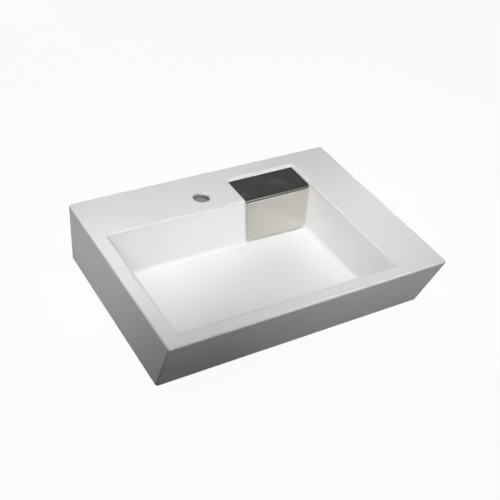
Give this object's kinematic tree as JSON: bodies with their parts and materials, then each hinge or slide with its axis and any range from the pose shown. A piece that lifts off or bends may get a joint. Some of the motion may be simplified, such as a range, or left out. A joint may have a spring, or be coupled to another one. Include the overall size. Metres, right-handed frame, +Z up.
{
  "type": "countertop basin",
  "caption": "Rectangular glazed ceramic countertop basin with a wide tap deck, an undercut front and a folded steel cover that lifts off the drain niche.",
  "frame": {"origin": "middle of the rim's rectangle, on the counter plane under the basin's foot", "axes": "+X along the width to the user's right, +Y to the wall behind the basin, +Z up"},
  "size_m": [0.6, 0.45, 0.135],
  "materials": {
    "white_glaze": "gloss",
    "steel_sheet": "fine brushed",
    "clear_silicone": "satin",
    "steel_bright": "polished",
    "black_rubber": "matte",
    "white_plastic": "satin",
    "brass_bush": "machined"
  },
  "bodies": {
    "basin": {"basin_body": "white_glaze", "waste_grid": "steel_bright", "waste_screw": "steel_bright", "waste_seal_upper": "black_rubber", "waste_seal_lower": "black_rubber", "waste_body": "white_plastic", "waste_insert": "brass_bush"},
    "cover": {"drain_cover": "steel_sheet", "cover_pads": "clear_silicone", "cover_bumpers": "clear_silicone"}
  },
  "joints": [
    {"name": "cover_lift", "type": "slide", "parent": "basin", "child": "cover", "axis": [0, 0, 1], "range_m": [0, 0.12]}
  ]
}
